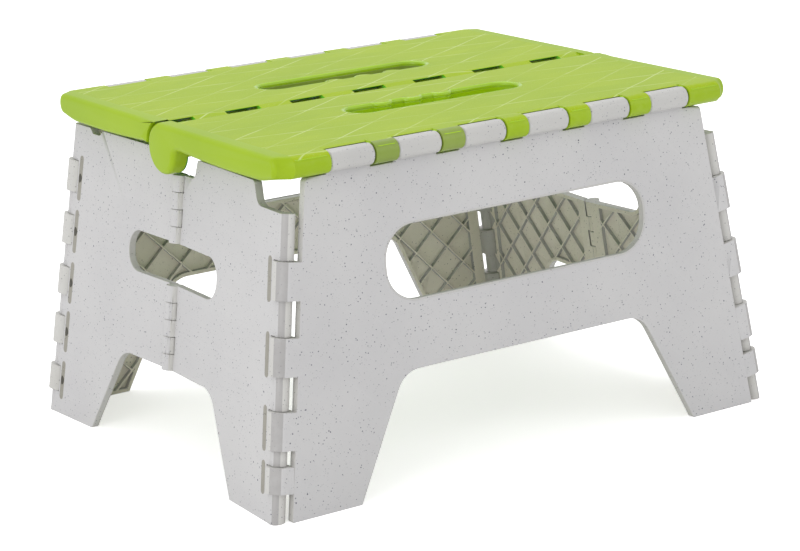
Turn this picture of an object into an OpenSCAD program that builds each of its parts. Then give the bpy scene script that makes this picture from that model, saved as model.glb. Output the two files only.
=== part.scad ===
// Folding step of moulded plastic: a two-part top on two long leg panels and two folding end panels.
// X runs along the step, the front leg panel faces -Y, Z is up and the floor is Z = 0.

/* [Overall] */
// Height of the standing surface above the floor
stand_height = 220; // [180:1:300]
// Length of the top along X
top_length = 336; // [300:1:420]
// Depth of the top along Y, front edge to back edge
top_depth = 296; // [240:1:340]
// Lean of the two long leg panels from upright, in degrees
long_splay = 4; // [1:0.5:6]
// Slope of the corner hinges, measured within a long leg panel, in degrees
end_splay = 8.2; // [4:0.1:12]
// Inward bend of each end half in use, in degrees
end_bend = 3; // [0:0.5:6]

/* [Top] */
// Thickness of the top, which is also the diameter of its edge knuckles
top_thick = 14; // [12:1:18]
// Thickness of the walking skin
top_skin = 2.6; // [2:0.2:4]
// Thickness of the skirt and the ribs under the top
top_wall = 2.4; // [1.6:0.2:4]
// Radius of the top's long edges at its two ends
end_round = 4; // [2:0.5:6]
// Spacing of the ribs under the top along X
top_rib_pitch = 25; // [18:1:50]

/* [Hand holes in the top] */
// Length of each hand hole
hole_length = 130; // [90:1:160]
// Width of each hand hole
hole_width = 24; // [18:1:34]
// Distance of each hand hole's centre line from the centre hinge
hole_offset = 54.5; // [36:0.5:62]
// Radius of each finger bump
bump_radius = 8; // [5:0.5:10]
// How far a finger bump reaches into the hole
bump_reach = 4.5; // [2:0.5:6]
// Spacing of the three finger bumps
bump_pitch = 23; // [18:1:28]
// Distance of the middle bump from the hole's centre
bump_shift = 8; // [0:1:16]
// Thickness of the collar round a hand hole
hole_collar = 2.4; // [1.6:0.2:4]

/* [Centre hinge of the top] */
// Number of knuckles along the centre hinge, both halves together, an even number
centre_knuckles = 14; // [8:2:20]
// Thickness of the round lobe that hangs at one end of each half
lobe_thick = 8; // [6:0.5:12]
// Depth of the centre hinge axis below the underside of the top
centre_drop = 2.5; // [1:0.5:5]
// Depth of a centre knuckle below its hinge axis
knuckle_drop = 4.2; // [4:0.2:6]

/* [Edge hinges of the top] */
// Number of barrels on each long leg panel's upper edge
edge_barrels = 6; // [3:1:9]
// Length of one barrel
barrel_length = 31; // [20:1:40]
// Spacing of the barrels
barrel_pitch = 48; // [36:0.2:56]
// Diameter of a barrel
barrel_diameter = 13; // [11:0.5:14]
// Thickness of the neck that carries a barrel
neck_thick = 4.5; // [3:0.5:6]

/* [Long leg panels] */
// Distance of the panel's outer face behind the axis of its edge hinge
face_inset = 1.5; // [0:0.5:3]
// Full thickness of a long leg panel
long_thick = 5.5; // [4:0.5:6]
// Thickness of the outer skin of every leg panel
panel_skin = 2.4; // [1.6:0.2:3]
// Width of the rims and borders of every leg panel
panel_rim = 3; // [2:0.5:6]
// Width of the solid strip beside each hinge of a leg panel
hinge_strip = 9; // [6:0.5:14]
// Distance of a panel's upper edge below the edge hinge axis
panel_drop = 8.2; // [8:0.2:12]
// Length of the long opening
long_open_length = 198; // [150:1:240]
// Height of the long opening's lower edge above the floor
long_open_low = 119; // [90:1:130]
// Height of the long opening
long_open_height = 47; // [30:1:60]
// Corner radius of the long opening
long_open_round = 21; // [10:1:24]
// Height of the leg cut-out in a long panel
long_cut_height = 76; // [40:1:90]
// Length of the leg cut-out at its upper edge
long_cut_top = 184; // [140:1:240]
// Length of the leg cut-out at the floor
long_cut_foot = 260; // [200:1:300]
// Radius of the leg cut-outs' upper corners
cut_round = 18; // [8:1:24]

/* [End panels] */
// Distance of an end panel's upper edge below the corner axes' level
end_drop = 14.6; // [13:0.2:20]
// Full thickness of an end panel
end_thick = 5.2; // [4:0.2:6]
// Length of the hand hole across the centre of an end panel
end_hole_length = 115; // [70:1:130]
// Height of that hand hole's lower edge above the floor
end_hole_low = 115; // [90:1:130]
// Height of that hand hole
end_hole_height = 27; // [20:1:36]
// Height of the leg cut-out in an end panel
end_cut_height = 60; // [40:1:80]
// Width of the leg cut-out at its upper edge
end_cut_top = 117; // [70:1:140]
// Width of the leg cut-out at the floor
end_cut_foot = 185; // [110:1:190]
// Width of the notch at an end panel's upper corner
notch_width = 34; // [20:1:44]
// Depth of that notch
notch_depth = 14; // [8:1:20]
// Distance of the shallow dip in a rear half's upper edge from its corner
dip_inset = 18; // [14:1:30]
// Width of that dip
dip_width = 16; // [12:1:24]
// Depth of that dip
dip_depth = 3.5; // [2:0.5:4]
// Radius of the centre hinge knuckles of an end panel
end_knuckle_radius = 5; // [4:0.5:6]
// Number of knuckles above the hand hole of an end panel
knuckles_above = 4; // [2:1:8]
// Number of knuckles below the hand hole of an end panel
knuckles_below = 5; // [2:1:8]

/* [Corner hinges] */
// Half the distance between the corner hinge axes at the level of the edge hinges
corner_half = 156; // [120:0.5:190]
// Distance of a corner hinge axis behind the outer face of the long panel
corner_depth = 7.5; // [6:0.5:9]
// Distance of a corner hinge axis outside the edge of the long panel
corner_out = 7; // [6:0.5:9]
// Radius of the column on the end panel
column_radius = 5; // [4:0.5:6]
// How far the column stands out of the end panel's outer face
column_proud = 0.3; // [0.2:0.1:1]
// Radius of the pin that runs through the tabs
corner_pin = 2.8; // [2:0.1:3.4]
// Lower and upper heights of the front panel's tabs
front_tabs = [[18, 34], [44, 67], [88, 111], [133, 156]];
// Lower and upper heights of the back panel's tabs
back_tabs = [[15, 32], [48, 67], [82, 101], [117, 137], [153, 174]];

/* [Diamond ribs] */
// Distance between neighbouring ribs
rib_pitch = 20; // [14:1:30]
// Thickness of a rib
rib_thick = 1.5; // [1:0.1:3]

/* [Fits] */
// Gap round a pin in its bore
pin_gap = 0.06; // [0.02:0.01:0.1]
// Gap between moving parts beside one another
side_gap = 0.5; // [0.3:0.1:1]
// Gap round a knuckle in its recess
knuckle_gap = 0.6; // [0.4:0.1:1.2]
// Gap round a centre knuckle of an end panel, which has no pin
open_gap = 1; // [0.6:0.1:2]
// Gap between the top's lobe and the end hinge below it
lobe_gap = 1.5; // [1:0.5:4]
// Radius of the pins of the top's hinges
top_pin = 3; // [2:0.1:4]
// Length of a hinge pin stub
stub_length = 4; // [3:0.5:6]

/* [Hidden] */
$fn = 48;
tiny = 0.01;
green = "#AFCB4C";
grey = "#D1D1CE";
knuckle_r = top_thick/2;
top_low = stand_height - top_thick;
edge_y = top_depth/2 - knuckle_r;
edge_z = stand_height - knuckle_r;
knuckle_step = top_length/centre_knuckles;
// depth of the corner axes behind the edge hinge axis, square to the long panel
axis_depth = face_inset + corner_depth;
// level and half depth of the corner axes where they pass the edge hinge
axis_z = edge_z - axis_depth*sin(long_splay);
axis_y = edge_y - axis_depth*cos(long_splay);
// slopes of the end panel's plane and of the corner axis within that plane
end_lean = atan(tan(end_splay)/cos(long_splay));
corner_lean = asin(cos(end_splay)*sin(long_splay));
reach = 20;
long_foot = long_level(0) - reach;
end_foot = end_level(0) - reach;
edge_half = corner_half - corner_out;
end_face = column_radius - column_proud;
end_top = -end_drop;
centre_z = top_low - centre_drop;
lobe_r = top_thick + centre_drop;
// upper end of an end panel's hinge and half the width of the recess there, both clear of the lobe
hinge_top = end_level(centre_z - lobe_r - lobe_gap);
lobe_side = lobe_r + 2*lobe_gap;

// Outlines with rounded corners: each point is [x, y, radius].
function unit(v) = v/norm(v);
function turned(p, a) = [p.x*cos(a) - p.y*sin(a), p.x*sin(a) + p.y*cos(a)];
function at(p, i) = p[(i + len(p)) % len(p)];
function flat(p) = [p.x, p.y];
function corner_arc(a, b, c, r, n = 7) =
    let (u = unit(a - b), v = unit(c - b), half = acos(u*v)/2,
         centre = b + unit(u + v)*(r/sin(half)),
         start = b + u*(r/tan(half)) - centre,
         side = -sign(cross(u, v)))
    [for (i = [0:n]) centre + turned(start, side*(180 - 2*half)*i/n)];
function rounded(p) =
    [for (i = [0:len(p) - 1])
        each (p[i].z < 0.05 ? [flat(p[i])]
              : corner_arc(flat(at(p, i - 1)), flat(p[i]), flat(at(p, i + 1)), p[i].z))];
// The outline moved inwards by d, for points that run anticlockwise.
function moved_in(p, d) =
    [for (i = [0:len(p) - 1])
        let (a = flat(at(p, i - 1)), b = flat(p[i]), c = flat(at(p, i + 1)),
             e = unit(b - a), f = unit(c - b), m = [-e.y, e.x], n = [-f.y, f.x],
             q = b + (m + n)*(d/(1 + m*n)), r = p[i].z + (cross(e, f) > 0 ? -d : d))
        [q.x, q.y, p[i].z < 0.05 || r < 0.3 ? 0 : r]];

function long_level(h) = -(edge_z - h)/cos(long_splay);
function end_level(h) = -(axis_z - h)/cos(end_lean);
function edge_at(v) = edge_half - v*tan(end_splay);
function corner_at(v) = axis_y - v*tan(corner_lean);
// distance along a corner axis from the level of the edge hinge down to a height
function along_corner(h) = (axis_z - h)/(cos(long_splay)*cos(end_splay));

// Outline of a long panel, with its slanted sides moved in by a strip and its feet carried below the floor.
function long_shape(strip, below) =
    let (top = -panel_drop, cut = long_level(long_cut_height), foot = long_level(0) - below,
         in_foot = long_cut_foot/2 + below*(long_cut_foot - long_cut_top)/2/long_cut_height)
    [[-edge_at(top) + strip, top, 3], [-edge_at(foot) + strip, foot, 0], [-in_foot, foot, 0],
     [-long_cut_top/2, cut, cut_round], [long_cut_top/2, cut, cut_round], [in_foot, foot, 0],
     [edge_at(foot) - strip, foot, 0], [edge_at(top) - strip, top, 3]];
long_opening = let (low = long_level(long_open_low), high = low + long_open_height,
                    half = long_open_length/2)
    [[-half, high, long_open_round], [-half, low, long_open_round],
     [half, low, long_open_round], [half, high, long_open_round]];

// Outline of an end panel's +Y half, with its two hinge sides moved in by a strip and its foot carried
// below the floor. A front half has a notch at its upper corner, a rear half a shallow dip beside it.
// At the centre the upper edge drops below the lobe of the top.
function end_shape(strip, below, front) =
    let (cut = end_level(end_cut_height), foot = end_level(0) - below,
         in_foot = end_cut_foot/2 + below*(end_cut_foot - end_cut_top)/2/end_cut_height,
         gap = side_gap/2 + strip)
    concat([[gap, hinge_top, 0], [gap, cut, 0], [end_cut_top/2, cut, cut_round], [in_foot, foot, 0],
            [corner_at(foot) - strip, foot, 0]], front ? notched_edge(strip) : dipped_edge(strip),
           [[lobe_side + 3, end_top, 2], [lobe_side, hinge_top, 4]]);
function notched_edge(strip) =
    let (low = end_top - notch_depth, notch = corner_at(end_top) - notch_width)
    [[corner_at(low) - strip, low, 0], [notch + 6, low, 8], [notch, end_top, 3]];
function dipped_edge(strip) =
    let (start = corner_at(end_top) - dip_inset, end = start - dip_width, low = end_top - dip_depth)
    [[corner_at(end_top) - strip, end_top, 0], [start, end_top, dip_depth/2], [start - dip_depth, low, dip_depth],
     [end + dip_depth, low, dip_depth], [end, end_top, dip_depth/2]];
end_opening = let (low = end_level(end_hole_low), high = low + end_hole_height,
                   half = end_hole_length/2, r = end_hole_height/2 - 1)
    [[-half, high, r], [-half, low, r], [half, low, r], [half, high, r]];

// The cells between two crossing sets of diagonal ribs.
module cells(half_x, low) {
    step = rib_pitch*sqrt(2);
    across = ceil(half_x/step);
    down = ceil(-low/step);
    for (i = [-across:across], j = [0:2*down])
        translate([(i + (j % 2)/2)*step, -j*step/2]) rotate(45) square(rib_pitch - rib_thick, center = true);
}

// A plate with a rimmed and ribbed inner side, standing in X-Z, outer face at y = 0, ribs to +Y.
module ribbed_plate(outline, pocket, opening, thick, half_x, low) {
    rotate([90, 0, 0]) mirror([0, 0, 1]) difference() {
        linear_extrude(thick) difference() {
            polygon(rounded(outline));
            polygon(rounded(opening));
        }
        translate([0, 0, panel_skin]) linear_extrude(thick) intersection() {
            difference() {
                polygon(rounded(moved_in(pocket, panel_rim)));
                polygon(rounded(moved_in(opening, -panel_rim)));
            }
            cells(half_x, low);
        }
    }
}

// The part of space below the floor, which trims the feet.
module below_floor() {
    translate([-top_length, -top_depth, -3*reach]) cube([2*top_length, 2*top_depth, 3*reach]);
}

// Frame of a corner axis inside a long panel: z runs up the axis, side is -1 for the left one.
module on_corner_axis(side) {
    translate([side*corner_half, axis_depth, 0]) rotate([0, -side*end_splay, 0]) children();
}

module long_panel(tabs) {
    translate([0, -edge_y, edge_z]) rotate([-long_splay, 0, 0]) {
        difference() {
            union() {
                translate([0, face_inset, 0])
                    ribbed_plate(long_shape(0, reach), long_shape(hinge_strip - panel_rim, 0), long_opening,
                                 long_thick, corner_half + 30, long_foot);
                for (side = [-1, 1], t = tabs) on_corner_axis(side) corner_tab(side, t);
            }
            for (side = [-1, 1], t = tabs) on_corner_axis(side)
                translate([0, 0, -along_corner(t[0]) - 1])
                    cylinder(r = corner_pin + pin_gap, h = along_corner(t[0]) - along_corner(t[1]) + 2);
        }
        for (i = [0:edge_barrels - 1]) translate([(i - (edge_barrels - 1)/2)*barrel_pitch, 0, 0]) edge_barrel();
    }
}

// One tab of a long panel: a round end on the corner axis and a flat root in the panel's skin.
module corner_tab(side, t) {
    length = along_corner(t[0]) - along_corner(t[1]);
    translate([0, 0, -along_corner(t[0])]) {
        cylinder(r = corner_depth, h = length);
        translate([side > 0 ? -corner_out - panel_rim : 0, -corner_depth, 0])
            cube([corner_out + panel_rim, long_thick - 1, length]);
    }
}

// One barrel on the upper edge of a long panel, with its neck and two pin stubs.
module edge_barrel() {
    rotate([0, 90, 0]) {
        cylinder(d = barrel_diameter, h = barrel_length, center = true);
        cylinder(r = top_pin, h = barrel_length + 2*stub_length, center = true);
    }
    translate([-barrel_length/2, face_inset, -panel_drop - panel_rim])
        cube([barrel_length, neck_thick, panel_drop + panel_rim]);
}

module front_leg_panel() {
    color(grey) difference() {
        long_panel(front_tabs);
        below_floor();
    }
}

module back_leg_panel() {
    color(grey) difference() {
        mirror([0, 1, 0]) long_panel(back_tabs);
        below_floor();
    }
}

// Half of an end panel at -X, laid on its +Y side. The front half takes the front panel's tabs and the
// first, third and fifth centre knuckles, the rear half takes the back panel's tabs and the ones between.
module end_half(front) {
    tabs = front ? front_tabs : back_tabs;
    low = -along_corner(tabs[0][0]);
    high = -along_corner(tabs[len(tabs) - 1][1]);
    translate([-corner_half, 0, axis_z]) rotate([0, end_lean, 0]) bent_in() {
        difference() {
            union() {
                translate([-end_face, 0, 0]) rotate([0, 0, 90]) mirror([0, 1, 0])
                    ribbed_plate(end_shape(0, reach, front), end_shape(hinge_strip, 0, front), end_opening,
                                 end_thick, axis_y + 20, end_foot);
                along_end_corner() translate([0, 0, end_foot - 2])
                    cylinder(r = column_radius, h = end_top - (front ? notch_depth : 0) - end_foot + 2);
            }
            for (t = tabs) along_end_corner() translate([0, 0, -along_corner(t[0]) - side_gap])
                cylinder(r = corner_depth + knuckle_gap,
                         h = along_corner(t[0]) - along_corner(t[1]) + 2*side_gap);
            for (k = knuckle_spans) if (k[2] != front) end_knuckle(k, open_gap, side_gap);
        }
        along_end_corner() translate([0, 0, low - 2]) cylinder(r = corner_pin, h = high - low + 4);
        for (k = knuckle_spans) if (k[2] == front) end_knuckle(k, 0, -side_gap/2);
    }
}

module along_end_corner() {
    translate([0, axis_y, 0]) rotate([corner_lean, 0, 0]) children();
}

// Turned about the corner axis, so that the centre of the end stands further in.
module bent_in() {
    along_end_corner() rotate([0, 0, end_bend]) rotate([-corner_lean, 0, 0]) translate([0, -axis_y, 0]) children();
}

// Spans of the centre knuckles of an end panel: [lower level, upper level, odd].
function spans(low, high, n, first) =
    [for (i = [0:n - 1]) [low + (high - low)*i/n, low + (high - low)*(i + 1)/n, (i + first) % 2 == 0]];
knuckle_spans = concat(
    spans(end_level(end_cut_height), end_level(end_hole_low), knuckles_below, 0),
    spans(end_level(end_hole_low) + end_hole_height, hinge_top, knuckles_above, 0));

module end_knuckle(k, wider, longer) {
    translate([-end_face, 0, k[0] - longer])
        cylinder(r = end_knuckle_radius + wider, h = k[1] - k[0] + 2*longer);
}

module left_half(front) {
    color(grey) difference() {
        if (front) mirror([0, 1, 0]) end_half(true);
        else end_half(false);
        below_floor();
    }
}

module left_end_front() left_half(true);
module left_end_rear() left_half(false);
module right_end_front() mirror([1, 0, 0]) left_half(true);
module right_end_rear() mirror([1, 0, 0]) left_half(false);

// Cylinder along X between two places on the centre hinge axis.
module centre_disc(r, from, to) {
    translate([from, 0, centre_z]) rotate([0, 90, 0]) cylinder(r = r, h = to - from);
}

// Left end of centre knuckle or boundary number k.
function seam_x(k) = -top_length/2 + k*knuckle_step;

// Outline of the front hand hole with its three bumps, seen from above.
module hand_hole(wider) {
    difference() {
        union() {
            square([hole_length - hole_width, hole_width + 2*wider], center = true);
            for (side = [-1, 1]) translate([side*(hole_length - hole_width)/2, 0])
                circle(r = hole_width/2 + wider);
        }
        for (i = [-1:1]) translate([i*bump_pitch - bump_shift, hole_width/2 + bump_radius - bump_reach])
            circle(r = bump_radius - wider);
    }
}

// The slab of the front half: round front edge, skirt, skin and ribs underneath.
module slab() {
    half = top_length/2;
    intersection() {
        union() {
            translate([-half, -edge_y, top_low]) cube([top_length, edge_y, top_thick - end_round]);
            translate([-half + end_round, -edge_y, top_low]) cube([top_length - 2*end_round, edge_y, top_thick]);
            for (side = [-1, 1]) translate([side*(half - end_round), 0, stand_height - end_round])
                rotate([90, 0, 0]) cylinder(r = end_round, h = edge_y);
            translate([0, -edge_y, edge_z]) rotate([0, 90, 0])
                cylinder(r = knuckle_r, h = top_length - 2*knuckle_r, center = true);
            for (side = [-1, 1]) translate([side*(half - knuckle_r), -edge_y, edge_z]) sphere(r = knuckle_r);
        }
        translate([-half, -edge_y - knuckle_r, top_low]) cube([top_length, edge_y + knuckle_r, top_thick]);
    }
}

module slab_pocket() {
    inner = top_length/2 - top_wall - 1;
    translate([0, 0, top_low - 1]) linear_extrude(top_thick - top_skin + 1) difference() {
        translate([-inner, -edge_y + knuckle_r + 3]) square([2*inner, edge_y - knuckle_r - 6]);
        translate([0, -hole_offset]) hand_hole(hole_collar);
        for (x = [-6*top_rib_pitch : top_rib_pitch : 6*top_rib_pitch])
            translate([x - top_wall/2, -top_depth]) square([top_wall, top_depth]);
        translate([-inner, -edge_y*0.6]) square([2*inner, top_wall]);
    }
}

// The front half of the top. The rear half is the same moulding turned round.
module top_moulding() {
    last = centre_knuckles - 1;
    difference() {
        union() {
            difference() {
                slab();
                slab_pocket();
                translate([0, -hole_offset, top_low - 1]) linear_extrude(top_thick + 2) hand_hole(0);
                for (k = [1:2:last])
                    centre_disc(lobe_r + knuckle_gap, seam_x(k) - (k == last ? 0 : side_gap/2),
                                seam_x(k + 1) + (k == last ? 1 : side_gap/2));
            }
            for (k = [0:2:last]) centre_knuckle(k);
            centre_disc(lobe_r, seam_x(0), seam_x(0) + lobe_thick);
            for (k = [1:centre_knuckles/2 - 1]) centre_stub(k);
        }
        for (i = [0:edge_barrels - 1]) translate([(i - (edge_barrels - 1)/2)*barrel_pitch, -edge_y, edge_z])
            barrel_recess();
        translate([0, -edge_y, edge_z]) rotate([0, 90, 0])
            cylinder(r = top_pin + pin_gap, h = edge_barrels*barrel_pitch - 2, center = true);
        for (k = [centre_knuckles/2 + 1 : last]) centre_bore(k);
    }
}

// A rounded tongue of the front half on the centre hinge axis.
module centre_knuckle(k) {
    intersection() {
        centre_disc(lobe_r, seam_x(k) + (k == 0 ? 0 : side_gap/2), seam_x(k + 1) - side_gap/2);
        translate([-top_length, -lobe_r, centre_z - knuckle_drop])
            cube([2*top_length, 2*lobe_r, lobe_r + knuckle_drop]);
    }
}

// Pin stub of the front half at boundary k: it points away from the half's own knuckle.
module centre_stub(k) {
    way = k % 2 == 1 ? 1 : -1;
    centre_disc(top_pin, seam_x(k) + (way > 0 ? -2 : -stub_length), seam_x(k) + (way > 0 ? stub_length : 2));
}

module centre_bore(k) {
    way = k % 2 == 1 ? -1 : 1;
    deep = stub_length + 1;
    centre_disc(top_pin + pin_gap, seam_x(k) + (way > 0 ? 0 : -deep), seam_x(k) + (way > 0 ? deep : 0));
}

// Room for one barrel of the long panel in the edge of the top.
module barrel_recess() {
    r = barrel_diameter/2 + knuckle_gap + 0.6;
    length = barrel_length + 2*side_gap;
    rotate([0, 90, 0]) cylinder(r = r, h = length, center = true);
    translate([-length/2, -top_thick, -top_thick]) cube([length, top_thick + face_inset + neck_thick, top_thick]);
    translate([-length/2, -top_thick, -tiny]) cube([length, top_thick, top_thick]);
}

module top_front() color(green) top_moulding();
module top_rear() color(green) rotate([0, 0, 180]) top_moulding();

top_front();
top_rear();
front_leg_panel();
back_leg_panel();
left_end_front();
left_end_rear();
right_end_front();
right_end_rear();
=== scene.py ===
"""Visual model of a folding caravan entry step: two lime top halves on six speckled panels."""
import logging
import math
from dataclasses import dataclass, field
from enum import Enum

import bmesh
import bpy
import numpy as np
from mathutils import Matrix, Vector


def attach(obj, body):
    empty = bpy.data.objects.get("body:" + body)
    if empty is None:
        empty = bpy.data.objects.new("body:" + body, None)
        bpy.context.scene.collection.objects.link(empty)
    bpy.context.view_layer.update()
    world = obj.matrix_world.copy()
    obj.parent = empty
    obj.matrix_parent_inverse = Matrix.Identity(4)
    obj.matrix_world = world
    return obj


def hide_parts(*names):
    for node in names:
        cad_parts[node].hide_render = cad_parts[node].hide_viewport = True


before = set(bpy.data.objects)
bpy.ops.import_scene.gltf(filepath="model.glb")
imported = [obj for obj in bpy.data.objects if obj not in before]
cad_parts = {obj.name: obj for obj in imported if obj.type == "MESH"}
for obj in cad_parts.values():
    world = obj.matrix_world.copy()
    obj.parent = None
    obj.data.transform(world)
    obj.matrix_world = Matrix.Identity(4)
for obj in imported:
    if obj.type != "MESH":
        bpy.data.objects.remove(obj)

LOG = logging.getLogger("entry_step")
MM = 0.001
SAME = 1e-7
BARRELS = 6
BARREL_PITCH = 48.0 * MM
PANEL_SPLAY = math.radians(4.0)

Triple = tuple[float, float, float]
Colour = tuple[float, float, float, float]
Socket = bpy.types.NodeSocket
Sockets = dict[str, Socket]
Materials = dict[str, bpy.types.Material]


class Side(Enum):
    """The way a moulding looks when the step stands open, as a unit direction."""

    UP = (0.0, 0.0, 1.0)
    FRONT = (0.0, -1.0, 0.0)
    BACK = (0.0, 1.0, 0.0)
    LEFT = (-1.0, 0.0, 0.0)
    RIGHT = (1.0, 0.0, 0.0)

    def vector(self) -> np.ndarray:
        """The direction as an array."""
        return np.array(self.value)


class Zone(Enum):
    """The material slots of a moulding, in order."""

    SHOW = 0
    RIM = 1
    EDGE = 2
    INSIDE = 3
    # Painted shade: faces coloured darker for shade and for dark reflections that the plastic does not
    # have.
    PAINTED_SHADE = 4
    SLIT = 5


def linear(red: int, green: int, blue: int) -> Colour:
    """Turns a display colour into the linear colour that shaders use.

    Args:
        red, green, blue: Display values from 0 to 255.

    Returns:
        The linear colour with an alpha of 1.
    """
    def one(value: int) -> float:
        """One channel by the display curve."""
        share = value / 255.0
        return share / 12.92 if share <= 0.04045 else ((share + 0.055) / 1.055) ** 2.4
    return one(red), one(green), one(blue), 1.0


class Graph:
    """Places and joins shader nodes in one tree, from left to right."""

    def __init__(self, tree: bpy.types.NodeTree) -> None:
        """Keeps the tree and starts at its left end."""
        self.tree = tree
        self.column = 0

    def add(self, kind: str, **settings: object) -> bpy.types.Node:
        """Adds a node of a kind, with its settings."""
        node = self.tree.nodes.new(kind)
        node.location = (self.column * 190.0, 0.0)
        self.column += 1
        for name, value in settings.items():
            setattr(node, name, value)
        return node

    def link(self, source: Socket, target: Socket) -> None:
        """Joins two sockets."""
        self.tree.links.new(source, target)

    def feed(self, socket: Socket, value: object) -> None:
        """Joins a socket to another, or sets it to a plain value."""
        if isinstance(value, Socket):
            self.link(value, socket)
        else:
            socket.default_value = value

    def maths(self, operation: str, *values: object) -> Socket:
        """Works out one number from others.

        Args:
            operation: The name of the Math node's operation.
            values: Sockets or plain numbers, in the node's order.

        Returns:
            The socket with the result.
        """
        node = self.add("ShaderNodeMath", operation=operation)
        for socket, value in zip(node.inputs, values):
            self.feed(socket, value)
        return node.outputs[0]

    def blend(self, share: object, first: object, second: object) -> Socket:
        """Mixes two colours by a share.

        Args:
            share: How much of the second colour shows.
            first, second: Sockets or plain colours.

        Returns:
            The socket with the colour.
        """
        node = self.add("ShaderNodeMix", data_type="RGBA", blend_type="MIX", clamp_factor=True)
        self.feed(node.inputs[0], share)
        self.feed(node.inputs[6], first)
        self.feed(node.inputs[7], second)
        return node.outputs[2]

    def step(self, value: object, low: object, high: object, start: float = 0.0,
             end: float = 1.0) -> Socket:
        """Maps a value smoothly from one range to another.

        Args:
            value: The socket or number to map.
            low, high: The range that counts.
            start, end: What comes out at its ends.

        Returns:
            The socket with the mapped value.
        """
        node = self.add("ShaderNodeMapRange", interpolation_type="SMOOTHSTEP")
        for index, item in enumerate((value, low, high, start, end)):
            self.feed(node.inputs[index], item)
        return node.outputs[0]

    def noise(self, place: Socket, scale: object, detail: float = 2.0) -> Socket:
        """Cloud noise at a number of features to a metre."""
        node = self.add("ShaderNodeTexNoise")
        self.feed(node.inputs["Vector"], place)
        self.feed(node.inputs["Scale"], scale)
        node.inputs["Detail"].default_value = detail
        return node.outputs["Fac"]


@dataclass(frozen=True)
class Pins:
    """The named inputs and outputs of a shader node group, with the inputs' first values."""

    inputs: dict[str, float]
    outputs: tuple[str, ...]


def new_group(name: str, pins: Pins) -> tuple[Graph, Sockets, Sockets]:
    """Starts a shader node group with its sockets.

    Args:
        name: The group's name.
        pins: Its inputs and outputs.

    Returns:
        The graph inside, the sockets that bring the inputs in, and those that take the outputs.
    """
    tree = bpy.data.node_groups.new(name, "ShaderNodeTree")
    for label, value in pins.inputs.items():
        socket = tree.interface.new_socket(label, in_out="INPUT", socket_type="NodeSocketFloat")
        socket.default_value = value
    for label in pins.outputs:
        tree.interface.new_socket(label, in_out="OUTPUT", socket_type="NodeSocketFloat")
    graph = Graph(tree)
    source = graph.add("NodeGroupInput")
    target = graph.add("NodeGroupOutput")
    return graph, {p: source.outputs[p] for p in pins.inputs}, {p: target.inputs[p] for p in pins.outputs}


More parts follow.
